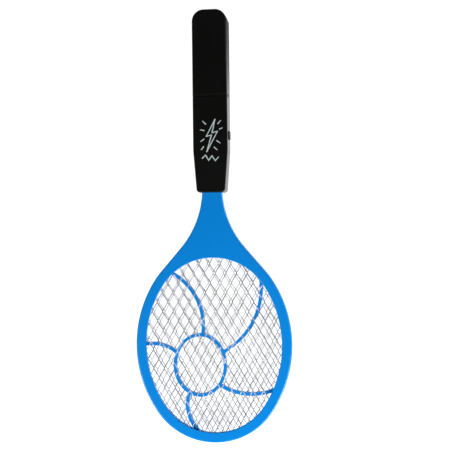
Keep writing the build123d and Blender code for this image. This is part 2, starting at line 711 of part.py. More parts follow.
def hv_lead():
    """Live wire: board, tang, neck, along the centre sheet's tab."""
    z = MID_Z + SHEET_T / 2 + LEAD_D / 2
    y0 = BOARD_Y + LEAD_Y
    return lead(
        [(LEAD_X, y0, BOARD_TOP), (LEAD_X, y0, z), (LIVE_TAB_X, TANG_Y, z), (LIVE_TAB_X, TAB_END - 6.0, z)],
        [2.0, 6.0],
    )


def ground_lead():
    """Return wire: board, tang, neck, under the front sheet's tab."""
    z = MID_Z + SHEET_T / 2 + WEB_T - LEAD_D / 2
    y0 = BOARD_Y + LEAD_Y
    y1 = TAB_END + 24.0
    return lead(
        [
            (-LEAD_X, y0, BOARD_TOP), (-LEAD_X, y0, z), (-BOSS_PASS_X, TANG_Y, z),
            (-BOSS_PASS_X, y1, z), (GROUND_TAB_X, y1 - 12.0, z), (GROUND_TAB_X, TAB_END - 6.0, z),
        ],
        [2.0, 6.0, 8.0, 8.0],
    )


def ground_link():
    h = SHEET_T / 2 + WEB_T
    x = GROUND_TAB_X + 2.2
    return rod(x, TAB_END - 2.5, MID_Z - h, MID_Z + h, LEAD_D)


centre_plan = expanded_sheet(0, 1.6, LIVE_TAB_X)
front_plan = expanded_sheet(LAYER_SHIFT / 2, 0, GROUND_TAB_X)
rear_plan = expanded_sheet(-LAYER_SHIFT / 2, -1.2, GROUND_TAB_X)
web_plan = web()

nodes = {
    "frame_front": frame_half(True),
    "frame_rear": frame_half(False),
    "web_front": in_head(web_plan, SHEET_T / 2, WEB_T),
    "web_rear": in_head(web_plan, -SHEET_T / 2 - WEB_T, WEB_T),
    "mesh_front": in_head(front_plan, SHEET_T / 2 + WEB_T, SHEET_T),
    "mesh_centre": in_head(centre_plan, -SHEET_T / 2, SHEET_T),
    "mesh_rear": in_head(rear_plan, -STACK_H, SHEET_T),
    "handle_front_shell": handle_front_shell(),
    "handle_rear_shell": handle_rear_shell(),
    "battery_cover": battery_cover(),
    "battery_left": cell(-CELL_X, True),
    "battery_right": cell(CELL_X, False),
    "negative_contact": negative_contact(),
    "positive_contact": contact_plate(CELL_X, CONTACT_FACE_Y),
    "bridge_contact": bridge_contact(),
    "circuit_board": circuit_board(),
    "transformer_core": transformer_core(),
    "transformer_coil": transformer_coil(),
    "transistor": transistor(),
    "hv_capacitors": hv_capacitors(),
    "diodes": diodes(),
    "resistors": resistors(),
    "switch_body": switch_body(),
    "switch_plunger": switch_plunger(),
    "button_cap": button_cap(),
    "handle_screws": handle_screws(),
    "board_screws": board_screws(),
    "battery_lead_red": battery_lead(1),
    "battery_lead_black": battery_lead(-1),
    "hv_lead": hv_lead(),
    "ground_lead": ground_lead(),
    "ground_link": ground_link(),
}

for name, shape in nodes.items():
    export_step(shape, f"parts/{name}.step")
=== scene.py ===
import math
import bmesh
import bpy
from mathutils import Matrix, Vector
from mathutils.bvhtree import BVHTree


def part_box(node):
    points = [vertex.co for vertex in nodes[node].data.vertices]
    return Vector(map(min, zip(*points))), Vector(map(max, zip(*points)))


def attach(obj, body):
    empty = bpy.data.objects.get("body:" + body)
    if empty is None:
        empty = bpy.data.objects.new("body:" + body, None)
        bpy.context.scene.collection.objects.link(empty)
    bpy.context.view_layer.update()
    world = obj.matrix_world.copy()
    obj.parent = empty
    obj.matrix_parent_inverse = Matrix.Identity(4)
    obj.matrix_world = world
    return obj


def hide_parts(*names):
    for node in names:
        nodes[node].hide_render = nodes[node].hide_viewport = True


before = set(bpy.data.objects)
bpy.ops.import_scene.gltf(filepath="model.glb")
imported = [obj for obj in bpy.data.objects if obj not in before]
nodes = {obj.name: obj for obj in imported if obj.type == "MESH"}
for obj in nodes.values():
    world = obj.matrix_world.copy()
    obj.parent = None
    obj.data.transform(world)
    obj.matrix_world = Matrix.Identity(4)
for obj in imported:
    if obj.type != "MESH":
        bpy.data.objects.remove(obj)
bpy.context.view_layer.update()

# ------------------------------------------------------------------ camera
# The racket lies face up on a table and is looked at from above and slightly from its button
# side, so that the handle's right flank just shows. Long lens, one metre away.
MM = 0.001
AIM = Vector((13.9, 0.6, 13.5)) * MM
EYE_DISTANCE = 1.0
EYE_SIDE = math.radians(6.5)
EYE_ROLL = math.radians(-0.644)
LENS_MM = 76.3

forward = -Vector((math.sin(EYE_SIDE), 0, math.cos(EYE_SIDE)))
across = forward.cross(Vector((0, 1, 0))).normalized()
upward = across.cross(forward)
right = across * math.cos(EYE_ROLL) + upward * math.sin(EYE_ROLL)
top = upward * math.cos(EYE_ROLL) - across * math.sin(EYE_ROLL)
camera = bpy.data.objects.new("camera", bpy.data.cameras.new("camera"))
turned = Matrix((right, top, -forward)).transposed().to_4x4()
camera.matrix_world = Matrix.Translation(AIM - forward * EYE_DISTANCE) @ turned
camera.data.lens = LENS_MM
bpy.context.scene.collection.objects.link(camera)
bpy.context.scene.camera = camera
bpy.context.scene.view_settings.view_transform = "Standard"


# ------------------------------------------------------------------ table and studio light
# A plain white table top under soft light from four sides. Nothing bright hangs straight
# overhead, so that flat black plastic stays black. The top glows, which keeps it free of shadow.
FLOOR_HALF = 3.0
FLOOR_DROP = 0.05 * MM
FLOOR_GLOW = 0.96
WORLD_GLOW = 0.03


class Field:
    """One socket of a material, so that masks and heights can be written as sums."""

    def __init__(self, finish, socket):
        self.finish = finish
        self.socket = socket

    def maths(self, operation, first, second=0.0):
        return self.finish.node("ShaderNodeMath", {"operation": operation}, {0: first, 1: second})

    def __add__(self, other):
        return self.maths("ADD", self, other)

    def __radd__(self, other):
        return self.maths("ADD", other, self)

    def __sub__(self, other):
        return self.maths("SUBTRACT", self, other)

    def __rsub__(self, other):
        return self.maths("SUBTRACT", other, self)

    def __mul__(self, other):
        return self.maths("MULTIPLY", self, other)

    def __truediv__(self, other):
        return self.maths("DIVIDE", self, other)

    def __lt__(self, other):
        return self.maths("LESS_THAN", self, other)

    def __gt__(self, other):
        return self.maths("GREATER_THAN", self, other)

    def least(self, other):
        return self.maths("MINIMUM", self, other)

    def most(self, other):
        return self.maths("MAXIMUM", self, other)


class Finish:
    """One node material and its Principled shader."""

    def __init__(self, name):
        self.material = bpy.data.materials.new(name)
        self.material.use_nodes = True
        self.tree = self.material.node_tree
        self.shader = self.tree.nodes["Principled BSDF"]
        self.place = self.node("ShaderNodeTexCoord", {}, {}, "Object")

    def node(self, kind, settings, values, out=0):
        """Adds a node: settings first, then the values or links of its sockets."""
        made = self.tree.nodes.new(kind)
        for name, value in settings.items():
            if name == "stops":
                for spot, (position, tone) in enumerate(value):
                    stops = made.color_ramp.elements
                    stop = stops[spot] if spot < len(stops) else stops.new(position)
                    stop.position = position
                    stop.color = (tone, tone, tone, 1)
            else:
                setattr(made, name, value)
        for name, value in values.items():
            if isinstance(value, Field):
                self.tree.links.new(value.socket, made.inputs[name])
            else:
                made.inputs[name].default_value = value
        return Field(self, made.outputs[out])

    def noise(self, scale, detail, vector=None):
        values = {"Vector": vector or self.place, "Scale": scale, "Detail": detail}
        return self.node("ShaderNodeTexNoise", {}, values, "Fac")

    def ramp(self, value, *stops):
        return self.node("ShaderNodeValToRGB", {"stops": stops}, {"Fac": value}, "Color")

    def stretched(self, scale, turn=(0, 0, 0)):
        values = {"Vector": self.place, "Scale": scale, "Rotation": turn}
        return self.node("ShaderNodeMapping", {}, values, "Vector")

    def axis(self, name):
        return self.node("ShaderNodeSeparateXYZ", {}, {"Vector": self.place}, name)

    def mix(self, factor, first, second):
        values = {0: factor, 6: first, 7: second}
        return self.node("ShaderNodeMix", {"data_type": "RGBA"}, values, 2)

    def bump(self, height, distance, strength):
        values = {"Height": height, "Distance": distance, "Strength": strength}
        return self.node("ShaderNodeBump", {}, values, "Normal")

    def surface(self, **values):
        for name, value in values.items():
            name = {"SpecularLevel": "Specular IOR Level"}.get(name, name.replace("_", " "))
            if isinstance(value, Field):
                self.tree.links.new(value.socket, self.shader.inputs[name])
            else:
                self.shader.inputs[name].default_value = value
        return self.material


mesh = bpy.data.meshes.new("table_top")
shape = bmesh.new()
bmesh.ops.create_grid(shape, x_segments=1, y_segments=1, size=FLOOR_HALF)
bmesh.ops.translate(shape, verts=shape.verts, vec=(0, 0, -FLOOR_DROP))
shape.to_mesh(mesh)
shape.free()
table = bpy.data.objects.new("table_top", mesh)
bpy.context.scene.collection.objects.link(table)
paper = Finish("table_white")
paper_tone = paper.noise(6.0, 3.0) * 0.02 + 0.94
mesh.materials.append(paper.surface(
    Base_Color=(0.40, 0.40, 0.40, 1),
    Roughness=paper_tone,
    Emission_Color=(1, 1, 1, 1),
    Emission_Strength=FLOOR_GLOW,
    SpecularLevel=0.1,
))

for name, spot, watts, size in (
    ("lamp_right_low", (0.80, -0.75, 0.52), 18.0, 0.5),
    ("lamp_left_low", (-0.95, -0.70, 0.55), 14.0, 0.5),
    ("lamp_left_high", (-1.2, 0.9, 0.6), 1.0, 0.9),
    ("lamp_right_high", (1.3, 0.7, 0.6), 1.2, 0.9),
):
    lamp = bpy.data.objects.new(name, bpy.data.lights.new(name, "AREA"))
    lamp.data.energy = watts
    lamp.data.size = size
    lamp.location = spot
    lamp.rotation_euler = (Vector((0, 0, 0)) - Vector(spot)).to_track_quat("-Z", "Y").to_euler()
    bpy.context.scene.collection.objects.link(lamp)

world = bpy.data.worlds.new("studio")
world.use_nodes = True
world.node_tree.nodes["Background"].inputs["Color"].default_value = (1, 1, 1, 1)
glow = world.node_tree.nodes.new("ShaderNodeMath")
glow.operation = "MAXIMUM"
glow.inputs[1].default_value = WORLD_GLOW
seen = world.node_tree.nodes.new("ShaderNodeLightPath").outputs["Is Camera Ray"]
world.node_tree.links.new(seen, glow.inputs[0])
world.node_tree.links.new(glow.outputs[0], world.node_tree.nodes["Background"].inputs["Strength"])
bpy.context.scene.world = world


# ------------------------------------------------------------------ racket frame
# Two injection-moulded halves in bright blue ABS, closed on moulded pegs. Satin mould finish
# with faint flow clouds, a few hairline scratches and dust specks; the seam runs round the rim.
BLUE = (0.0, 0.242, 0.74, 1)
BLUE_ROUGH = 0.30
SEAM_BREAK = 0.25 * MM
WELD_GAP = 0.001 * MM
SHARP_ANGLE = math.radians(40)


def shade(colour, factor):
    return (*(min(1.0, c * factor) for c in colour[:3]), 1)


def dress(name, material):
    """Gives one node its finish."""
    for slot in nodes[name].material_slots:
        slot.material = material


def soften(name, width):
    """Breaks one node's edges by a fine radius."""
    weld = nodes[name].modifiers.new("weld", "WELD")
    weld.merge_threshold = WELD_GAP
    bevel = nodes[name].modifiers.new("edge", "BEVEL")
    bevel.width = width
    bevel.segments = 2
    bevel.limit_method = "ANGLE"
    bevel.angle_limit = SHARP_ANGLE


def moulded(name, colour, rough, grain=0.45, flow=0.06, wear=0.5, ink=None, ink_colour=None):
    """Moulded plastic: flow clouds, satin grain, hairline scratches along and across, dust."""
    skin = Finish(name)
    clouds = skin.noise(22.0, 4.0)
    fine = skin.noise(1600.0, 2.0)
    coarse = skin.noise(420.0, 3.0)
    along = skin.noise(1.0, 1.0, skin.stretched((1900.0, 45.0, 1900.0), (0, 0, 0.21)))
    across = skin.noise(1.0, 1.0, skin.stretched((60.0, 2300.0, 2300.0), (0, 0, -0.35)))
    patches = skin.ramp(skin.noise(34.0, 2.0), (0.48, 0.0), (0.66, 1.0))
    scratches = skin.ramp(along, (0.70, 0.0), (0.76, 1.0))
    scratches = scratches.most(skin.ramp(across, (0.71, 0.0), (0.77, 1.0))) * patches
    cells = {"Vector": skin.place, "Scale": 210.0, "Randomness": 1.0}
    dust = skin.ramp(skin.node("ShaderNodeTexVoronoi", {}, cells, "Distance"), (0.035, 1.0), (0.06, 0.0))
    dust = dust * skin.ramp(skin.noise(90.0, 1.0), (0.56, 0.0), (0.62, 1.0))
    body = skin.mix(clouds, shade(colour, 1 - flow), shade(colour, 1 + flow))
    pale = tuple(0.7 * c + 0.18 for c in colour[:3]) + (1,)
    tint = skin.mix((scratches * 0.22 + dust * 0.35) * wear, body, pale)
    rough = rough(skin) if callable(rough) else rough
    sheen = rough + (clouds - 0.5) * 0.10 + (fine - 0.5) * 0.10 + scratches * 0.12 * wear
    if ink:
        print_mask = ink(skin)
        tint = skin.mix(print_mask, tint, ink_colour)
        sheen = sheen + print_mask * 0.2
    return skin.surface(
        Base_Color=tint,
        Roughness=sheen,
        Normal=skin.bump(fine * 0.5 + coarse * 0.5 - scratches * 0.6 * wear, grain * 0.04 * MM, 0.6),
        IOR=1.5,
    )


blue_plastic = moulded("frame_blue_plastic", BLUE, BLUE_ROUGH)
for name in ("frame_front", "frame_rear"):
    dress(name, blue_plastic)
    soften(name, SEAM_BREAK)


# ------------------------------------------------------------------ spiral spacers
# Two webs of the same blue plastic hold the three sheets apart: a rim, an off-centre ring and
# five curved spokes. Thinner moulding with rounded ribs, a little duller than the frame.
RIB_BREAK = 0.45 * MM
web_plastic = moulded("web_blue_plastic", shade(BLUE, 0.96), 0.32, wear=0.25)
for name in ("web_front", "web_rear"):
    dress(name, web_plastic)
    soften(name, RIB_BREAK)


# ------------------------------------------------------------------ expanded-metal sheets
# Three sheets of slit and stretched aluminium, long way of the diamonds along the racket. The
# outer two are earthed, the middle one is live. No two lie quite alike, so their lines drift.
BOND_L = 1.2 * MM
STRAND_LIFT = 0.04 * MM
STRAND_CUTS = 5
SHEET_END_R = 68.35 * MM
EDGE_CUTS = 72
EDGE_INSET = 0.4 * MM
TAB_SIZE = Vector((7.0, 15.0, 0.5)) * MM
TAB_SHARE = 0.98
NECK_DARKENING_FROM_Y = -0.20
NECK_DARKENING_RUN = 0.14
NET_WELD = 0.02 * MM
RIM_SHADE = 2.6 * MM
RIB_ABOVE = 1 * MM
RIB_REACH = 3 * MM


def sheet_metal():
    """Dull strands, darker along Y towards the neck, with a painted highlight where a rib backs them and
    painted shade, near black in ragged patches, at the rim.
    """
    metal = Finish("expanded_aluminium")
    brushed = metal.noise(1.0, 2.0, metal.stretched((2600.0, 260.0, 2600.0)))
    stain = metal.ramp(metal.noise(70.0, 4.0), (0.40, 0.0), (0.72, 1.0))
    pits = metal.noise(2400.0, 2.0)
    on_rib = metal.node("ShaderNodeAttribute", {"attribute_name": "on_rib"}, {}, "Fac")
    at_rim = metal.node("ShaderNodeAttribute", {"attribute_name": "at_rim"}, {}, "Fac")
    # Painted shade: strands near the frame's rim are darkened to near black and made less metallic, broken
    # into ragged patches.
    rim_shade_patches = metal.ramp(metal.noise(240.0, 1.0), (0.46, 0.0), (0.54, 1.0))
    painted_rim_shade = metal.ramp(at_rim * rim_shade_patches, (0.25, 0.0), (0.50, 1.0))
    dull = metal.mix(brushed, (0.07, 0.07, 0.064, 1), (0.15, 0.15, 0.144, 1))
    # The strands darken along Y towards the neck, on top of random stains.
    share = (metal.axis("Y") - NECK_DARKENING_FROM_Y) / NECK_DARKENING_RUN
    stains_and_darkening = metal.node("ShaderNodeClamp", {}, {"Value": share}, "Result") * 0.5 + stain * 0.4
    dull = metal.mix(stains_and_darkening, dull, (0.012, 0.012, 0.011, 1))
    # Painted highlight: strands backed by a rib get a near-white colour and less metal, standing in for the
    # light they catch there.
    painted_rib_highlight = metal.mix(brushed, (0.80, 0.83, 0.86, 1), (0.93, 0.95, 0.97, 1))
    return metal.surface(
        Base_Color=metal.mix(painted_rim_shade, metal.mix(on_rib, dull, painted_rib_highlight), (0.02, 0.02, 0.026, 1)),
        Metallic=0.55 - on_rib * 0.5 - painted_rim_shade * 0.4,
        Roughness=0.34 + brushed * 0.18 + stain * 0.12,
        Normal=metal.bump(pits + brushed * 0.6, 0.02 * MM, 0.7),
    )


aluminium = sheet_metal()
web_low, web_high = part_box("web_front")
head = (web_low + web_high) / 2
sheet_half = (web_high - web_low) / 2
end_run = sheet_half.y - SHEET_END_R
flank_r = (sheet_half.x ** 2 + end_run ** 2 - SHEET_END_R ** 2) / (2 * (sheet_half.x - SHEET_END_R))
flank_run = flank_r - sheet_half.x
turn_angle = math.atan2(end_run, flank_run)
posed = bpy.context.evaluated_depsgraph_get()
rim_tree = BVHTree.FromObject(nodes["frame_front"], posed)


def edge_point(angle):
    """Where a line square to that direction touches the sheet's oval outline."""
    out = Vector((math.cos(angle), math.sin(angle), 0))
    if abs(out.y) > math.sin(turn_angle):
        return Vector((0, math.copysign(end_run, out.y), 0)) + out * SHEET_END_R, out
    return Vector((-math.copysign(flank_run, out.x), 0, 0)) + out * flank_r, out


def expanded_sheet(name, node, strand, across, along, bond, tab_x, backing):
    """across and along are the steps from bond to bond, bond one bond's place, in mm."""
    low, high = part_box(node)
    across = Vector(across).to_3d() * MM
    along = Vector(along).to_3d() * MM
    start = Vector(bond).to_3d() * MM - along / 2
    net = bmesh.new()
    bmesh.ops.create_circle(net, cap_ends=False, segments=6, radius=1.0)
    bmesh.ops.rotate(net, verts=net.verts, matrix=Matrix.Rotation(math.pi / 6, 3, "Z"))
    tip = 0.5 - BOND_L / along.length / 2
    for v in net.verts:
        side = round(math.copysign(1, v.co.x)) if abs(v.co.x) > 0.5 else 0
        rise = math.copysign(0.5 - tip if side else tip, v.co.y)
        lift = STRAND_LIFT if (side != 0) == (rise > 0) else -STRAND_LIFT
        v.co = across * side / 2 + along * rise + Vector((0, 0, lift))
    bmesh.ops.subdivide_edges(net, edges=net.edges, cuts=STRAND_CUTS)
    bmesh.ops.contextual_create(net, geom=net.edges)
    cell = list(net.verts) + list(net.edges) + list(net.faces)
    rows = int(2 * sheet_half.y / along.length) + 3
    columns = int(sheet_half.x / across.length) + 3
    for row in range(-rows, rows + 1):
        for column in range(-columns, columns + 1):
            step = across * (column + 0.5 * (row % 2)) + along * row / 2
            if (row, column) == (0, 0) or step.length > sheet_half.y + along.length:
                continue
            copy = bmesh.ops.duplicate(net, geom=cell)["geom"]
            copied = [g for g in copy if isinstance(g, bmesh.types.BMVert)]
            bmesh.ops.translate(net, verts=copied, vec=step)
    bmesh.ops.remove_doubles(net, verts=net.verts, dist=NET_WELD)
    bmesh.ops.translate(net, verts=net.verts, vec=start)
    for cut in range(EDGE_CUTS):
        point, out = edge_point(2 * math.pi * cut / EDGE_CUTS)
        geometry = list(net.verts) + list(net.edges) + list(net.faces)
        inset = point - out * EDGE_INSET
        bmesh.ops.bisect_plane(net, geom=geometry, plane_co=inset, plane_no=out, clear_outer=True)
    bmesh.ops.wireframe(
        net, faces=net.faces, thickness=strand * MM, offset=0.0, use_replace=True, use_boundary=True,
        use_even_offset=True,
    )
    flattened = (high.z - low.z) / 2 / max(v.co.z for v in net.verts)
    bmesh.ops.scale(net, verts=net.verts, vec=(1, 1, flattened))
    bmesh.ops.translate(net, verts=net.verts, vec=(head.x, head.y, (low.z + high.z) / 2))
    tab = bmesh.ops.create_cube(net, size=1.0)["verts"]
    bmesh.ops.scale(net, verts=tab, vec=TAB_SIZE * TAB_SHARE)
    tab_y = high.y - TAB_SIZE.y / 2
    bmesh.ops.translate(net, verts=tab, vec=(tab_x * MM, tab_y, (low.z + high.z) / 2))
    bmesh.ops.recalc_face_normals(net, faces=net.faces)
    # Per-vertex marks: on_rib places the painted highlight over the web ribs, at_rim places the painted shade
    # near the frame's rim.
    rib_tree = BVHTree.FromObject(nodes[backing], posed) if backing else None
    on_rib = []
    at_rim = []
    for v in net.verts:
        above = v.co + Vector((0, 0, RIB_ABOVE))
        hit = rib_tree and rib_tree.ray_cast(above, Vector((0, 0, -1)), RIB_REACH)[0]
        on_rib.append(1.0 if hit else 0.0)
        at_rim.append(max(0.0, 1 - rim_tree.find_nearest(v.co)[3] / RIM_SHADE))
    made = bpy.data.meshes.new(name)
    net.to_mesh(made)
    net.free()
    made.attributes.new("on_rib", "FLOAT", "POINT").data.foreach_set("value", on_rib)
    made.attributes.new("at_rim", "FLOAT", "POINT").data.foreach_set("value", at_rim)
    made.materials.append(aluminium)
    sheet = bpy.data.objects.new(name, made)
    bpy.context.scene.collection.objects.link(sheet)
    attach(sheet, "root")
    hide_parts(node)


for name, node, strand, steps, bond, tab_x, backing in (
    ("mesh_front_net", "mesh_front", 0.62, ((11.03, 0.00), (-0.81, 20.27)), (5.71, -6.13), -8.0, "web_front"),
    ("mesh_centre_net", "mesh_centre", 0.60, ((10.95, -0.13), (-0.42, 20.17)), (6.68, 4.36), 6.3, "web_rear"),
    ("mesh_rear_net", "mesh_rear", 0.42, ((11.37, 0.11), (-0.24, 19.77)), (2.71, -4.94), -8.0, None),
):
    expanded_sheet(name, node, strand, *steps, bond, tab_x, backing)


# ------------------------------------------------------------------ handle shells and battery cover
# Black ABS, front and rear shells screwed together from behind, and a cover that slides off the
# butt end. The front shell carries a pad-printed spark, drawn in loose off-white strokes.
BLACK = (0.0030, 0.0030, 0.0027, 1)
PRINT_WHITE = (0.55, 0.66, 0.66, 1)
HANDLE_BREAK = 0.22 * MM
GRIP_ROUGH = 0.30
FLANK_X = 16.6 * MM
FLANK_WORN_FROM_Y = 0.13
FLANK_WORN_RUN = 0.07
PRINT_Z = 26.9 * MM
STROKE = 0.62
STROKE_SOFT = 0.08
BOLT = ((5.2, 110.6), (-4.0, 93.4), (1.4, 94.6), (-3.6, 77.6), (7.6, 98.2), (2.0, 97.0), (5.2, 110.6))
RAYS = (
    ((-4.6, 106.0), (-7.6, 109.0)),
    ((-6.4, 99.4), (-10.2, 100.2)),
    ((-6.6, 90.4), (-9.8, 88.2)),
    ((8.2, 106.2), (11.0, 109.4)),
    ((9.8, 100.6), (12.6, 101.8)),
    ((7.0, 88.6), (10.2, 86.2)),
    ((4.2, 82.0), (7.2, 79.2)),
    ((-7.0, 82.6), (-9.4, 79.6)),
)
ZIGZAG = ((-8.4, 70.8), (-5.0, 74.0), (-1.8, 68.6), (1.6, 73.2), (5.0, 68.2), (8.6, 72.0))


def grip_sheen(skin):
    """The right flank is handled most towards the butt and has gone duller there."""
    share = (skin.axis("Y") - FLANK_WORN_FROM_Y) / FLANK_WORN_RUN
    worn_share = skin.node("ShaderNodeClamp", {}, {"Value": share}, "Result")
    return GRIP_ROUGH + worn_share * (skin.axis("X") > FLANK_X) * 0.5


def spark(skin):
    """Distance to the nearest drawn stroke, a little ragged and thinly inked."""
    ragged = (skin.noise(900.0, 3.0) - 0.5) * 0.45
    values = {0: skin.place, 1: (1 / MM, 1 / MM, 0)}
    flat = skin.node("ShaderNodeVectorMath", {"operation": "MULTIPLY"}, values, "Vector")
    nearest = 99.0
    for start, end in (*zip(BOLT, BOLT[1:]), *RAYS, *zip(ZIGZAG, ZIGZAG[1:])):
        run = Vector((end[0] - start[0], end[1] - start[1], 0))
        values = {0: flat, 1: (*start, 0)}
        offset = skin.node("ShaderNodeVectorMath", {"operation": "SUBTRACT"}, values, "Vector")
        scaled = run / run.length_squared
        values = {0: offset, 1: scaled}
        share = skin.node("ShaderNodeVectorMath", {"operation": "DOT_PRODUCT"}, values, "Value")
        share = skin.node("ShaderNodeClamp", {}, {"Value": share}, "Result")
        values = {0: run, "Scale": share}
        foot = skin.node("ShaderNodeVectorMath", {"operation": "SCALE"}, values, "Vector")
        values = {0: offset, 1: foot}
        gap = skin.node("ShaderNodeVectorMath", {"operation": "DISTANCE"}, values, "Value")
        nearest = (gap + share * 0.2).least(nearest)
    inked = skin.ramp(nearest + ragged, (STROKE - STROKE_SOFT, 1.0), (STROKE + STROKE_SOFT, 0.0))
    thin = skin.ramp(skin.noise(700.0, 3.0), (0.30, 0.55), (0.48, 1.0))
    return inked * thin * (skin.axis("Z") > PRINT_Z)


printed = {"ink": spark, "ink_colour": PRINT_WHITE}
worn = {"grain": 0.6, "flow": 0.12, "wear": 0.10}
black_plastic = moulded("handle_black_plastic", BLACK, grip_sheen, **worn)
face_plastic = moulded("handle_printed_plastic", BLACK, grip_sheen, **worn, **printed)
dress("handle_front_shell", face_plastic)
dress("handle_rear_shell", black_plastic)
dress("battery_cover", black_plastic)
for name in ("handle_front_shell", "handle_rear_shell", "battery_cover"):
    soften(name, HANDLE_BREAK)


# ------------------------------------------------------------------ push button
# A separate black cap in the right flank, moulded with a matt spark-eroded face. Its plunger,
# in white nylon, reaches into the switch.
CAP_BREAK = 0.2 * MM
PLUNGER_BREAK = 0.1 * MM
cap_plastic = moulded("button_matt_black", (0.004, 0.004, 0.004, 1), 0.75, grain=1.4, flow=0.1, wear=0.35)
dress("button_cap", cap_plastic)
soften("button_cap", CAP_BREAK)
nylon = moulded("plunger_nylon", (0.66, 0.65, 0.60, 1), 0.45, grain=0.6, wear=0.2)
dress("switch_plunger", nylon)
soften("switch_plunger", PLUNGER_BREAK)


# ------------------------------------------------------------------ screws
# Zinc-plated self-tapping screws with a cross recess: three through the rear shell's wells,
# two small ones on the circuit board.
SCREW_BREAK = 0.08 * MM


def plated(name, light, dark, rough):
    """Bright plating with turning marks and tarnish."""
    metal = Finish(name)
    turned = metal.noise(1.0, 2.0, metal.stretched((3000.0, 3000.0, 500.0)))
    stains_and_darkening = metal.ramp(metal.noise(260.0, 4.0), (0.42, 0.0), (0.70, 1.0))
    return metal.surface(
        Base_Color=metal.mix(stains_and_darkening * 0.6, light, dark),
        Metallic=1.0 - stains_and_darkening * 0.15,
        Roughness=rough + turned * 0.16 + stains_and_darkening * 0.2,
        Normal=metal.bump(turned, 0.01 * MM, 0.6),
    )


zinc = plated("screw_zinc", (0.62, 0.62, 0.60, 1), (0.30, 0.28, 0.24, 1), 0.26)
for name in ("handle_screws", "board_screws"):
    dress(name, zinc)
    soften(name, SCREW_BREAK)


# ------------------------------------------------------------------ AA cells
# Two AA cells side by side, opposite ways round: a drawn steel can in a printed shrink sleeve,
# rolled over at both ends, with a crimp groove under the positive cap.
CELL_LENGTH = 50.5
CELL_PROFILE = (
    (0.0, 0.35), (4.9, 0.35), (5.1, 0.0), (6.5, 0.0), (7.0, 0.25), (7.2, 0.8), (7.22, 3.0), (7.22, 45.8),
    (7.18, 46.2), (6.98, 46.5), (6.98, 46.9), (7.2, 47.3), (7.2, 48.2), (7.0, 48.8), (6.5, 49.1), (5.2, 49.1),
    (5.0, 48.9), (3.6, 48.9), (3.3, 49.1), (2.7, 49.3), (2.68, 50.2), (2.4, 50.5), (0.0, 50.5),
)
BARE_ENDS = (0.012, 0.965)
TURN_STEPS = 72
ROLLED_ANGLE = math.radians(50)
SLEEVE_BANDS = ((0.0, 0.0), (0.02, 1.0), (0.70, 1.0), (0.705, 0.35), (0.725, 0.35), (0.73, 0.0))


def cell_finish(name, start_y, toward):
    """Printed sleeve by distance along the cell, bare nickel at both ends."""
    skin = Finish(name)
    along = (skin.axis("Y") - start_y) * (toward / (CELL_LENGTH * MM))
    band = skin.ramp(along, *SLEEVE_BANDS)
    fine = skin.noise(500.0, 3.0)
    sleeve = skin.mix(band, (0.62, 0.63, 0.65, 1), (0.03, 0.16, 0.085, 1))
    sleeve = skin.mix((fine - 0.5) * 0.12 + 0.06, sleeve, (0.9, 0.9, 0.9, 1))
    bare = (along < BARE_ENDS[0]).most(along > BARE_ENDS[1])
    return skin.surface(
        Base_Color=skin.mix(bare, sleeve, (0.72, 0.70, 0.66, 1)),
        Metallic=bare,
        Roughness=0.26 + fine * 0.12,
        Coat_Weight=0.5 - bare * 0.5,
        Normal=skin.bump(skin.noise(180.0, 2.0), 0.02 * MM, 0.5),
    )


def aa_cell(name, node, toward):
    low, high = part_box(node)
    start_y = low.y if toward > 0 else high.y
    lathe = bmesh.new()
    spots = [lathe.verts.new((r * MM, 0, z * MM)) for r, z in CELL_PROFILE]
    edges = [lathe.edges.new(pair) for pair in zip(spots, spots[1:])]
    bmesh.ops.spin(
        lathe, geom=spots + edges, axis=(0, 0, 1), cent=(0, 0, 0), steps=TURN_STEPS, angle=2 * math.pi,
        use_merge=True,
    )
    bmesh.ops.remove_doubles(lathe, verts=lathe.verts, dist=WELD_GAP)
    bmesh.ops.rotate(lathe, verts=lathe.verts, matrix=Matrix.Rotation(-toward * math.pi / 2, 3, "X"))
    middle = (low + high) / 2
    bmesh.ops.translate(lathe, verts=lathe.verts, vec=(middle.x, start_y, middle.z))
    bmesh.ops.recalc_face_normals(lathe, faces=lathe.faces)
    for face in lathe.faces:
        face.smooth = True
    made = bpy.data.meshes.new(name)
    lathe.to_mesh(made)
    lathe.free()
    made.materials.append(cell_finish(name + "_sleeve", start_y, toward))
    piece = bpy.data.objects.new(name, made)
    bpy.context.scene.collection.objects.link(piece)
    piece.data.set_sharp_from_angle(angle=ROLLED_ANGLE)
    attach(piece, "root")
    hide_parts(node)


aa_cell("cell_left_sleeved", "battery_left", 1)
aa_cell("cell_right_sleeved", "battery_right", -1)


# ------------------------------------------------------------------ battery contacts
# Nickel-plated spring steel, stamped plates clipped over the tray's ribs, with wound cone
# springs on the negative side.
nickel = plated("contact_nickel", (0.72, 0.69, 0.62, 1), (0.42, 0.38, 0.30, 1), 0.20)
for name in ("negative_contact", "positive_contact", "bridge_contact"):
    dress(name, nickel)


# ------------------------------------------------------------------ circuit board
# Single-sided phenolic paper board, 1.6 mm, sawn edges, with paper fibre showing through the
# tan resin.
BOARD_BREAK = 0.1 * MM


def phenolic():
    board = Finish("board_phenolic")
    fibre = board.noise(1.0, 4.0, board.stretched((900.0, 220.0, 900.0)))
    blot = board.noise(60.0, 3.0)
    resin = board.mix(fibre, (0.30, 0.17, 0.05, 1), (0.46, 0.29, 0.10, 1))
    return board.surface(
        Base_Color=board.mix(blot * 0.4, resin, (0.22, 0.12, 0.04, 1)),
        Roughness=0.42 + fibre * 0.2,
        Normal=board.bump(fibre, 0.03 * MM, 0.6),
    )


dress("circuit_board", phenolic())
soften("circuit_board", BOARD_BREAK)


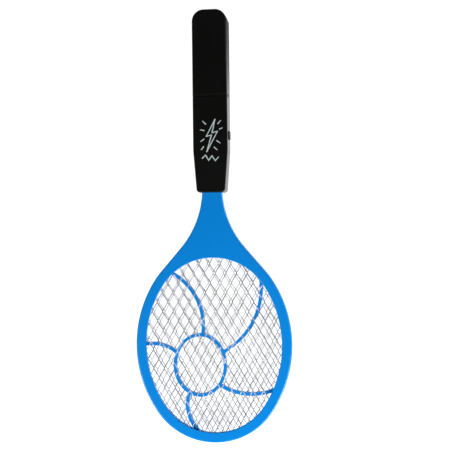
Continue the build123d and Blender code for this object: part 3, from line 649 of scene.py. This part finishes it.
# ------------------------------------------------------------------ transformer
# Step-up transformer: a dark sintered ferrite core in two halves, and a winding wrapped in
# yellow polyester tape whose laps show as fine steps.
CORE_BREAK = 0.15 * MM
COIL_BREAK = 0.2 * MM


def ferrite():
    core = Finish("core_ferrite")
    sinter = core.noise(1800.0, 3.0)
    chips = core.ramp(core.noise(420.0, 3.0), (0.62, 0.0), (0.70, 1.0))
    return core.surface(
        Base_Color=core.mix(chips * 0.5 + sinter * 0.2, (0.035, 0.036, 0.04, 1), (0.12, 0.12, 0.125, 1)),
        Roughness=0.6 + sinter * 0.25,
        Normal=core.bump(sinter - chips * 0.8, 0.05 * MM, 0.7),
    )


def winding_tape():
    tape = Finish("coil_tape")
    laps = tape.node("ShaderNodeTexWave", {"bands_direction": "Z"}, {
        "Vector": tape.place, "Scale": 130.0, "Distortion": 0.6, "Detail": 2.0,
    }, "Fac")
    creases = tape.noise(500.0, 3.0)
    return tape.surface(
        Base_Color=tape.mix(laps * 0.5 + creases * 0.3, (0.68, 0.47, 0.03, 1), (0.86, 0.68, 0.10, 1)),
        Roughness=0.28 + creases * 0.2,
        Normal=tape.bump(laps + creases * 0.4, 0.04 * MM, 0.6),
    )


dress("transformer_core", ferrite())
soften("transformer_core", CORE_BREAK)
dress("transformer_coil", winding_tape())
soften("transformer_coil", COIL_BREAK)


# ------------------------------------------------------------------ small parts on the board
# Epoxy transistor and diodes (silver band at one end), dipped film capacitors and ceramic
# resistors with colour rings; all legs are tinned copper.
BODY_BREAK = 0.12 * MM
SWITCH_BREAK = 0.15 * MM
WIRE_SHARE = 0.2


def leaded(name, colour, rough, leg_height):
    """Moulded or dipped body above leg_height over the board, tinned legs below it."""
    part = Finish(name)
    board_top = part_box("circuit_board")[1].z
    fine = part.noise(1500.0, 3.0)
    leg = part.axis("Z") < board_top + leg_height
    return part.surface(
        Base_Color=part.mix(leg, part.mix(fine * 0.3, colour, shade(colour, 1.6)), (0.62, 0.60, 0.56, 1)),
        Metallic=leg,
        Roughness=rough + (fine - 0.5) * 0.2 - leg * 0.1,
        Normal=part.bump(fine, 0.03 * MM, 0.6),
    )


def ringed(name, node, body, ring, stops, along):
    """Axial parts: rings by distance along the body, repeated for each part in the row."""
    part = Finish(name)
    low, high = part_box(node)
    share = (part.axis(along) - getattr(low, along.lower())) / getattr(high - low, along.lower())
    bands = part.ramp(share, *stops)
    wire = (share < WIRE_SHARE).most(share > 1 - WIRE_SHARE)
    fine = part.noise(900.0, 3.0)
    coat = part.mix(bands, part.mix(fine * 0.3, body, shade(body, 1.4)), ring)
    return part.surface(
        Base_Color=part.mix(wire, coat, (0.60, 0.58, 0.54, 1)),
        Metallic=wire,
        Roughness=0.38 + fine * 0.2,
        Normal=part.bump(fine, 0.02 * MM, 0.5),
    )


DIODE_BANDS = ((0.0, 0.0), (0.66, 0.0), (0.67, 1.0), (0.73, 1.0), (0.74, 0.0))
RESISTOR_BANDS = (
    (0.0, 0.0), (0.30, 0.0), (0.31, 1.0), (0.37, 1.0), (0.38, 0.0), (0.44, 0.0), (0.45, 1.0), (0.51, 1.0),
    (0.52, 0.0), (0.64, 0.0), (0.65, 1.0), (0.70, 1.0), (0.71, 0.0),
)
EPOXY = (0.012, 0.012, 0.013, 1)
dress("transistor", leaded("transistor_epoxy", EPOXY, 0.45, 2.8 * MM))
dress("hv_capacitors", leaded("capacitor_dip", (0.26, 0.020, 0.012, 1), 0.22, 0.2 * MM))
band_silver = (0.60, 0.60, 0.58, 1)
dress("diodes", ringed("diode_epoxy", "diodes", EPOXY, band_silver, DIODE_BANDS, "Y"))
coat_tan = (0.46, 0.33, 0.17, 1)
ring_brown = (0.20, 0.03, 0.015, 1)
dress("resistors", ringed("resistor_coat", "resistors", coat_tan, ring_brown, RESISTOR_BANDS, "X"))
for name in ("transistor", "hv_capacitors"):
    soften(name, BODY_BREAK)
dress("switch_body", moulded("switch_black_nylon", (0.018, 0.018, 0.020, 1), 0.42, grain=1.0, wear=0.3))
soften("switch_body", SWITCH_BREAK)


# ------------------------------------------------------------------ leads
# Stranded copper in PVC: red and black from the cells, red to the live sheet, white from the
# earthed sheets, with a short link between the two outer sheets.
def insulation(name, colour):
    sleeve = Finish(name)
    ripple = sleeve.noise(1.0, 2.0, sleeve.stretched((900.0, 350.0, 900.0)))
    return sleeve.surface(
        Base_Color=sleeve.mix(ripple, shade(colour, 0.85), shade(colour, 1.15)),
        Roughness=0.36 + ripple * 0.15,
        Normal=sleeve.bump(ripple, 0.05 * MM, 0.6),
    )


red_pvc = insulation("pvc_red", (0.55, 0.015, 0.012, 1))
white_pvc = insulation("pvc_white", (0.78, 0.77, 0.74, 1))
dress("battery_lead_red", red_pvc)
dress("hv_lead", red_pvc)
dress("battery_lead_black", insulation("pvc_black", (0.012, 0.012, 0.013, 1)))
dress("ground_lead", white_pvc)
dress("ground_link", white_pvc)
